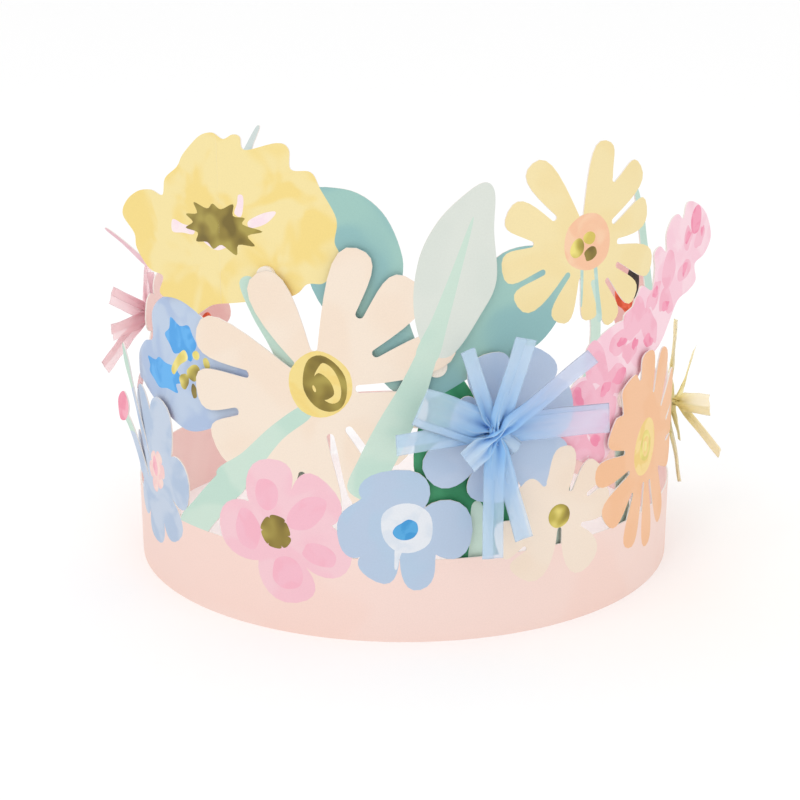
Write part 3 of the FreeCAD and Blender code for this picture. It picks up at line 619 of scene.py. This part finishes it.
def thickened(bm, front):
    # the board's thickness behind its printed faces, and its white core round every cut
    edges = list({edge for face in front for edge in face.edges})
    corners = list({corner for face in front for corner in face.verts})
    already = set(bm.faces)
    grown = bmesh.ops.extrude_face_region(bm, geom=front + edges + corners, use_keep_orig=True)["geom"]
    behind = [item for item in grown if isinstance(item, bmesh.types.BMFace)]
    for item in grown:
        if isinstance(item, bmesh.types.BMVert):
            item.co.y = ring["card"]
    for face in behind:
        face.normal_flip()
        if face.material_index not in printedTwice:
            face.material_index = cardSlots["insideBlush"]
    added = set(bm.faces) - already
    for face in added - set(behind):
        face.material_index = cardSlots["core"]
    sheet = added | set(front)
    bmesh.ops.recalc_face_normals(bm, faces=list(sheet))
    return sheet


def rolledAt(radius):
    def place(point):
        stepIn = ring["strapStep"] * smoothStep((point.x - ring["strapStart"]) / ring["strapJoggle"])
        lean = sway(point.x, point.z)
        across = outwards(point.x / ring["radius"]) * (radius - point.y - stepIn + lean)
        return across + Vector((0, 0, point.z))
    return place


def flatFrom(radius, arc):
    # a flower head that leaves the ring along its tangent
    azimuth = arc / ring["radius"]
    along = Vector((math.cos(azimuth), math.sin(azimuth), 0))

    def place(point):
        lean = sway(arc, point.z)
        across = outwards(azimuth) * (radius - ring["headSetIn"] - point.y + lean)
        return across + along * (point.x - arc) + Vector((0, 0, point.z))
    return place


def sortFaces(bm):
    # extruding lists the new faces in another order each time: their corners settle it
    bm.verts.index_update()
    ranked = sorted(bm.faces, key=lambda face: sorted(corner.index for corner in face.verts))
    rank = {face: place for place, face in enumerate(ranked)}
    bm.faces.sort(key=rank.get)


def finishCard(name, bm, node):
    sortFaces(bm)
    mesh = bpy.data.meshes.new(name)
    bm.to_mesh(mesh)
    bm.free()
    for material in cardMaterials.values():
        mesh.materials.append(material)
    mesh.set_sharp_from_angle(angle=math.radians(40))
    card = bpy.data.objects.new(name, mesh)
    bpy.context.scene.collection.objects.link(card)
    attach(card, "root")
    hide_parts(node)
    return card


def newBlank():
    bm = bmesh.new()
    bm.loops.layers.uv.new("blank")
    return bm


def makeFrontCard():
    bm = newBlank()
    radius = ring["radius"]
    strapLength = ring["strapEnd"] + ring["freeEnd"] + ring["strapOverlap"]
    strap = straightPart("strapRose", ring["strapStart"] - ring["strapTuck"],
                         ring["strapStart"] + strapLength, *ring["strapHeights"])
    band = straightPart("bandBlush", ring["freeEnd"] - ring["halfRound"], ring["strapStart"],
                        0, ring["bandHeight"])
    layers = [strap] + layersOf(tallMotifs, radius) + [band] + layersOf(lowMotifs, radius)
    dieCut(bm, layers, ring["rolledGrid"], rolledAt(radius))

    # the flower is printed over its bud stems, and adds no card of its own to them
    arc = budHeads[0][1]
    reach = (-math.inf, arc + ring["headOverlap"])
    flower = layersOf([motif for motif in lowMotifs if motif[0] == "periwinkle"], reach=reach)
    for layer in flower:
        layer["overprint"] = True
    buds = layersOf(budHeads, reach=reach)
    dieCut(bm, buds + flower, ring["flatGrid"], flatFrom(radius, arc))
    return finishCard("frontCard", bm, "front_card")


def makeBackCard():
    bm = newBlank()
    radius = ring["radius"] - ring["card"] - ring["gap"]
    poppyArc, hyacinthArc = poppy[1], hyacinth[1]
    layers = [straightPart("mintStem", -ring["baseReach"], ring["baseReach"], *ring["baseHeights"])]
    for motif in backMotifs:
        reach = everywhere
        if motif is poppy:
            reach = (poppyArc - ring["headOverlap"], math.inf)
        if motif is hyacinth:
            reach = (-math.inf, hyacinthArc + ring["headOverlap"])
        layers += layersOf([motif], radius, reach)
    dieCut(bm, layers, ring["rolledGrid"], rolledAt(radius))

    # the blue flower lies over the poppy, so its outline is cut out of the poppy's flat half
    window = layersOf([motif for motif in backMotifs if motif[0] == "leftBlue"], radius)[:1]
    window[0]["ink"] = None
    poppyHead = layersOf([sprig, poppy], reach=(-math.inf, poppyArc + ring["headOverlap"]))
    dieCut(bm, poppyHead + window, ring["flatGrid"], flatFrom(radius, poppyArc))
    hyacinthHead = layersOf([hyacinth], reach=(hyacinthArc - ring["headOverlap"], math.inf))
    dieCut(bm, hyacinthHead, ring["flatGrid"], flatFrom(radius, hyacinthArc))
    return finishCard("backCard", bm, "back_card")


frontCard = makeFrontCard()
backCard = makeBackCard()
print("cards cut and rolled:", len(frontCard.data.polygons), len(backCard.data.polygons), "faces")


# Pads and glue: small, plain and mostly hidden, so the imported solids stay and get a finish.

def foam():
    # closed-cell foam pad: creamy white, matt, with cells of about a third of a millimetre
    material, tree, shader = newMaterial("whiteFoam")
    shader.inputs["Roughness"].default_value = 0.9
    spot = addNode(tree, "ShaderNodeTexCoord")
    cells = addNode(tree, "ShaderNodeTexVoronoi", inputs={
        "Vector": spot.outputs["Object"], "Scale": metre / 0.35})
    pale = addNode(tree, "ShaderNodeMix", {"data_type": "RGBA"}, {
        "Factor": cells.outputs["Distance"], "A": linear("#E4D8CA"), "B": linear("#F0E5D8")})
    tree.links.new(pale.outputs["Result"], shader.inputs["Base Color"])
    dimples = addNode(tree, "ShaderNodeBump", inputs={
        "Strength": 0.5, "Distance": 0.0001, "Height": cells.outputs["Distance"]})
    tree.links.new(dimples.outputs["Normal"], shader.inputs["Normal"])
    return material


def dryGlue():
    # white craft glue dried to a yellowish, half-gloss film, uneven over about 4 mm
    material, tree, shader = newMaterial("dryGlue")
    shader.inputs["Roughness"].default_value = 0.35
    spot = addNode(tree, "ShaderNodeTexCoord")
    flow = addNode(tree, "ShaderNodeTexNoise", inputs={
        "Vector": spot.outputs["Object"], "Scale": metre / 4})
    film = addNode(tree, "ShaderNodeMix", {"data_type": "RGBA"}, {
        "Factor": flow.outputs["Fac"], "A": linear("#E3DCC4"), "B": linear("#EFEAD9")})
    tree.links.new(film.outputs["Result"], shader.inputs["Base Color"])
    return material


padFoam, glueFilm = foam(), dryGlue()
for name, node in frame["nodes"].items():
    if name.startswith("foam_pad") or name.endswith("bow_pad") or name == "strap_glue":
        node.data.materials.clear()
        node.data.materials.append(glueFilm if name == "strap_glue" else padFoam)
print("pads and glue finished")


bowShape = {
    "mesh": (110, 24),    # squares along a strip and across it
    "closeUp": 1.3,       # power that draws the mesh together at the pinch
    "padDepth": 1.5,
    "clearance": 0.3,     # between the pad and the first strip
    "pitch": 1.2,         # spacing of the strips through a bow
    "pinch": 2.6,         # width where the strips are gathered
    "turnsOver": 5,       # distance from the pinch to an arm's own direction
    "opensOver": 6,       # and to its full width
    "folds": 2.5,         # folds across a strip at the pinch
    "foldDepth": 1.3,
    "foldFades": 6.5,     # distance over which the folds flatten
    "creaseLeft": 0.12,   # depth of the creases that stay in the open paper
    "crumple": 0.5,       # unevenness outwards and sideways, a wave about every 9 mm
    "drift": 0.4,
    "curl": 1.2,          # slow bend of a whole arm
    "thickness": 0.05,
    "opacity": (0.42, 0.97),    # of one open layer, and of many at the pinch
    "layerLift": 0.25,    # between the layers of a folded strip
    "cutWider": 1.2,      # cut width against the widest end
    "leastSheet": 10,     # no strip is cut narrower
}

# Lifts: degrees by which the arms of the first and last strip stand out from the ring. Colours:
# deep in the folds, where the paper lies in layers and painted shade is added, open paper, a
# painted highlight on a fold's crest, and the cut ends. Each strip: direction, length and end
# width of one arm, then of the other. On a faded strip, the first arm's end is lavender.
fadedEnd = "#D6DDF1"
bows = [
    {"name": "blueBow", "node": "blue_bow", "slot": "blue_tissue", "arc": 24.4, "rise": 39.2,
     "lifts": (5, 8), "seed": 31.4, "faded": (0, 4),
     "colours": ("#5C97DE", "#9CCDF8", "#DCEEFE", "#CFE4F7"), "strips": [
        (3, 35, 9, 182, 29, 6.5), (156, 24.5, 11.5, -38, 9, 5), (109.5, 27, 4.5, 285, 33, 5.5),
        (76, 29.5, 6.5, 267, 36, 6.5), (40.5, 35, 5, 216, 11.5, 7.5)]},
    {"name": "pinkBow", "node": "pink_bow", "slot": "pink_tissue", "arc": -169, "rise": 45,
     "lifts": (10, 18), "seed": -162, "faded": (),
     "colours": ("#F7B2C0", "#FFD8DE", "#FFEFF1", "#FFE2E6"), "strips": [
        (-75, 27, 4, 98, 15, 5), (-5, 22, 6, 170, 20, 6), (30, 22, 6.5, 215, 22, 6.5),
        (-38, 26, 6.5, 135, 22, 6)]},
    {"name": "yellowBow", "node": "yellow_bow", "slot": "yellow_tissue", "arc": 150, "rise": 18.5,
     "lifts": (6, 24), "seed": 159, "faded": (),
     "colours": ("#FAEAA4", "#FFF4BC", "#FFFADF", "#FFF6CC"), "strips": [
        (250, 28, 3, 85, 29, 4), (265, 14, 3.5, 20, 22, 6), (167, 22, 7, -20, 22, 6),
        (215, 25, 5.5, 50, 22, 6)]},
]


def tissue(name, folded, spread, paintedCrestHighlight, end, otherEnd):
    # Dyed tissue paper, 17 g a square metre: thin enough to see through, deeper in colour down in
    # the folds where it lies in many layers and where shade is painted in, with a painted highlight
    # along the crests, and paler towards the cut ends.
    material, tree, shader = newMaterial(name + "Tissue")
    shader.inputs["Roughness"].default_value = 0.6
    shader.inputs["Specular IOR Level"].default_value = 0.25
    folds = addNode(tree, "ShaderNodeAttribute", {"attribute_name": "folds"})
    parts = addNode(tree, "ShaderNodeSeparateXYZ", inputs={"Vector": folds.outputs["Vector"]})
    fold, near, share = (parts.outputs[axis] for axis in "XYZ")
    sheet = addNode(tree, "ShaderNodeUVMap", {"uv_map": "tissue"})
    # dye that the sheet took up in streaks, about 10 mm long and 2 mm wide
    streakMap = addNode(tree, "ShaderNodeMapping", inputs={
        "Vector": sheet.outputs["UV"], "Scale": (metre / 20, metre / 4, 1)})
    streak = addNode(tree, "ShaderNodeTexNoise", inputs={
        "Vector": streakMap.outputs["Vector"], "Scale": 1, "Detail": 3, "Roughness": 0.5})
    reach = addNode(tree, "ShaderNodeMath", {"operation": "ABSOLUTE"}, {0: share})
    towardsEnd = addNode(tree, "ShaderNodeMath", {"operation": "MULTIPLY_ADD"}, {
        0: streak.outputs["Fac"], 1: 0.7, 2: reach.outputs["Value"]})
    fade = addNode(tree, "ShaderNodeMapRange", {"interpolation_type": "SMOOTHSTEP"}, {
        "Value": towardsEnd.outputs["Value"], "From Min": 0.45, "From Max": 1.25})
    arm = addNode(tree, "ShaderNodeMapRange", inputs={
        "Value": share, "From Min": -0.1, "From Max": 0.1})
    pale = addNode(tree, "ShaderNodeMix", {"data_type": "RGBA"}, {
        "Factor": arm.outputs["Result"], "A": linear(otherEnd), "B": linear(end)})
    opened = addNode(tree, "ShaderNodeMix", {"data_type": "RGBA"}, {
        "Factor": fade.outputs["Result"], "A": linear(spread), "B": pale.outputs["Result"]})

    def whereFolded(under, start, full, colour):
        # a colour laid over one side of each fold, and only near the pinch: a painted highlight on the
        # crests, and painted shade with the layered paper's deeper colour in the valleys
        side = addNode(tree, "ShaderNodeMapRange", inputs={
            "Value": fold, "From Min": start, "From Max": full})
        sideNear = addNode(tree, "ShaderNodeMath", {"operation": "MULTIPLY"}, {
            0: side.outputs["Result"], 1: near})
        return addNode(tree, "ShaderNodeMix", {"data_type": "RGBA"}, {
            "Factor": sideNear.outputs["Value"], "A": under.outputs["Result"], "B": linear(colour)})

    # painted highlight along the crests, then painted shade and the layers' deeper colour in the valleys
    crestHighlight = whereFolded(opened, 0.72, 0.95, paintedCrestHighlight)
    valleysShaded = whereFolded(crestHighlight, 0.1, -0.8, folded)
    tree.links.new(valleysShaded.outputs["Result"], shader.inputs["Base Color"])
    veil = addNode(tree, "ShaderNodeMapRange", inputs={
        "Value": near, "To Min": bowShape["opacity"][0], "To Max": bowShape["opacity"][1]})
    tree.links.new(veil.outputs["Result"], shader.inputs["Alpha"])
    relief = addNode(tree, "ShaderNodeBump", inputs={
        "Strength": 0.3, "Distance": 0.0003, "Height": streak.outputs["Fac"]})
    tree.links.new(relief.outputs["Normal"], shader.inputs["Normal"])
    return material


def foldedOver(place, flatWidth, armWidth):
    # a wide strip is folded to and fro along its length, so that it makes a narrower arm
    layer = (place + flatWidth / 2) / armWidth
    back = layer % 2
    return armWidth * (min(back, 2 - back) - 0.5), layer


def gathered(bow, level, flatWidth):
    # the open sheet, pinched in its middle and spread into two arms
    angle, length, width, otherAngle, otherLength, otherWidth = bow["strips"][level]
    share = level / (len(bow["strips"]) - 1)
    lift = math.radians(bow["lifts"][0] + (bow["lifts"][1] - bow["lifts"][0]) * share)
    seed = 7.3 * level + bow["seed"]
    azimuth = bow["arc"] / ring["radius"]
    outward = outwards(azimuth)
    sideways = Vector((math.cos(azimuth), math.sin(azimuth), 0))
    upward = Vector((0, 0, 1))
    depth = bowShape["padDepth"] + bowShape["clearance"] + level * bowShape["pitch"]
    centre = outward * (ring["radius"] + depth) + upward * (ring["bandHeight"] + bow["rise"])

    def along(heading):
        return sideways * math.cos(math.radians(heading)) + upward * math.sin(math.radians(heading))

    bm = bmesh.new()
    uv = bm.loops.layers.uv.new("tissue")
    folds = bm.verts.layers.float_vector.new("folds")
    squaresAlong, squaresAcross = bowShape["mesh"]
    bmesh.ops.create_grid(bm, x_segments=squaresAlong, y_segments=squaresAcross, size=1)
    flatPlaces = {}
    forwards, backwards = along(angle), -along(otherAngle)
    for corner in bm.verts:
        end, across = corner.co.x, corner.co.y    # both from -1 to 1
        reach = abs(end) ** bowShape["closeUp"] * (length if end > 0 else otherLength)
        flatPlaces[corner] = (math.copysign(reach, end) / metre, across * flatWidth / (2 * metre))
        ahead = forwards if end > 0 else -backwards
        turn = 0.5 + 0.5 * math.copysign(smoothStep(reach / bowShape["turnsOver"]), end)
        travel = (forwards * turn + backwards * (1 - turn)).normalized()
        beside = outward.cross(travel)
        opening = smoothStep(reach / bowShape["opensOver"])
        laid, layer = foldedOver(across * flatWidth / 2, flatWidth, width if end > 0 else otherWidth)
        aside = across * bowShape["pinch"] / 2 * (1 - opening) + laid * opening
        fold = math.asin(math.sin(across * bowShape["folds"] * math.pi + seed)) / (math.pi / 2)
        near = math.exp(-(reach / bowShape["foldFades"]) ** 1.4)
        rough = noise.noise(Vector((reach / 9 + seed, across * 0.9, end * 2 + seed)))
        bend = noise.noise(Vector((seed, end * 1.5, 0.3)))
        rise = reach * math.sin(lift)
        rise += fold * (bowShape["creaseLeft"] + bowShape["foldDepth"] * near)
        rise += rough * bowShape["crumple"] * smoothStep(reach / 8)
        rise += bowShape["layerLift"] * layer * opening * (1 if level % 2 else -1)
        rise += bend * bowShape["curl"] * smoothStep(reach / 20)
        aside += rough * bowShape["drift"] * smoothStep(reach / 10)
        corner[folds] = (fold, near, end)
        corner.co = (centre + ahead * reach * math.cos(lift) + beside * aside + outward * rise) / metre
    for face in bm.faces:
        face.smooth = True
        for loop in face.loops:
            loop[uv].uv = flatPlaces[loop.vert]
    return bm


def tissueStrip(bow, level, material):
    _, length, width, _, otherLength, otherWidth = bow["strips"][level]
    flatWidth = max(bowShape["leastSheet"], bowShape["cutWider"] * max(width, otherWidth))
    bm = gathered(bow, level, flatWidth)
    name = "%sStrip%d" % (bow["name"], level + 1)
    mesh = bpy.data.meshes.new(name)
    bm.to_mesh(mesh)
    bm.free()
    mesh.materials.append(material)
    strip = bpy.data.objects.new(name, mesh)
    bpy.context.scene.collection.objects.link(strip)
    shell = strip.modifiers.new("tissueThickness", "SOLIDIFY")
    shell.thickness = bowShape["thickness"] / metre
    shell.offset = 0
    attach(strip, "root")
    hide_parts("%s_strip_%d" % (bow["node"], level + 1))


for bow in bows:
    folded, spread, paintedCrestHighlight, end = bow["colours"]
    paper = tissue(bow["name"], folded, spread, paintedCrestHighlight, end, end)
    if bow["faded"]:
        fadedPaper = tissue(bow["name"] + "Faded", folded, spread, paintedCrestHighlight, fadedEnd, end)
    for level in range(len(bow["strips"])):
        tissueStrip(bow, level, fadedPaper if level in bow["faded"] else paper)
print("bows tied")


studio = {    # in metres, but for the camera's elevation and lens
    "target": (-0.0014, 0, 0.0477),
    "distance": 0.54,
    "elevation": 16.69,    # degrees above the table
    "lens": 71.2,          # millimetres
    "tableReach": 4,
    "sky": 1.0,
    "lights": {    # place, size and power in watts
        "key": ((-0.7, -0.9, 1.1), 0.8, 2.5),
        "fill": ((0.9, -0.8, 0.5), 0.9, 0.6),
    },
}


def makeTable():
    # matt white painted board, such as a studio table
    material, tree, shader = newMaterial("whiteTable")
    shader.inputs["Base Color"].default_value = linear("#FEFEFE")
    shader.inputs["Roughness"].default_value = 0.9
    shader.inputs["Specular IOR Level"].default_value = 0.1
    bm = bmesh.new()
    bmesh.ops.create_grid(bm, x_segments=1, y_segments=1, size=studio["tableReach"])
    mesh = bpy.data.meshes.new("table")
    bm.to_mesh(mesh)
    bm.free()
    mesh.materials.append(material)
    table = bpy.data.objects.new("table", mesh)
    bpy.context.scene.collection.objects.link(table)


def addLight(name, place, size, power):
    lamp = bpy.data.lights.new(name, "AREA")
    lamp.size = size
    lamp.energy = power
    light = bpy.data.objects.new(name, lamp)
    light.location = place
    aim = Vector(studio["target"]) - Vector(place)
    light.rotation_euler = aim.to_track_quat("-Z", "Y").to_euler()
    bpy.context.scene.collection.objects.link(light)


def makeStudio():
    world = bpy.data.worlds.new("studio")
    world.use_nodes = True
    sky = world.node_tree.nodes["Background"]
    sky.inputs["Color"].default_value = linear("#FFFFFF")
    sky.inputs["Strength"].default_value = studio["sky"]
    bpy.context.scene.world = world
    for name, settings in studio["lights"].items():
        addLight(name, *settings)
    bpy.context.scene.view_settings.view_transform = "Standard"


def addCamera():
    lens = bpy.data.cameras.new("camera")
    lens.lens = studio["lens"]
    lens.clip_start = 0.01
    camera = bpy.data.objects.new("camera", lens)
    raised = math.radians(studio["elevation"])
    back = Vector((0, -math.cos(raised), math.sin(raised))) * studio["distance"]
    camera.location = Vector(studio["target"]) + back
    camera.rotation_euler = (-back).to_track_quat("-Z", "Y").to_euler()
    bpy.context.scene.collection.objects.link(camera)
    bpy.context.scene.camera = camera


makeTable()
makeStudio()
addCamera()
print("studio set")

bpy.context.view_layer.update()
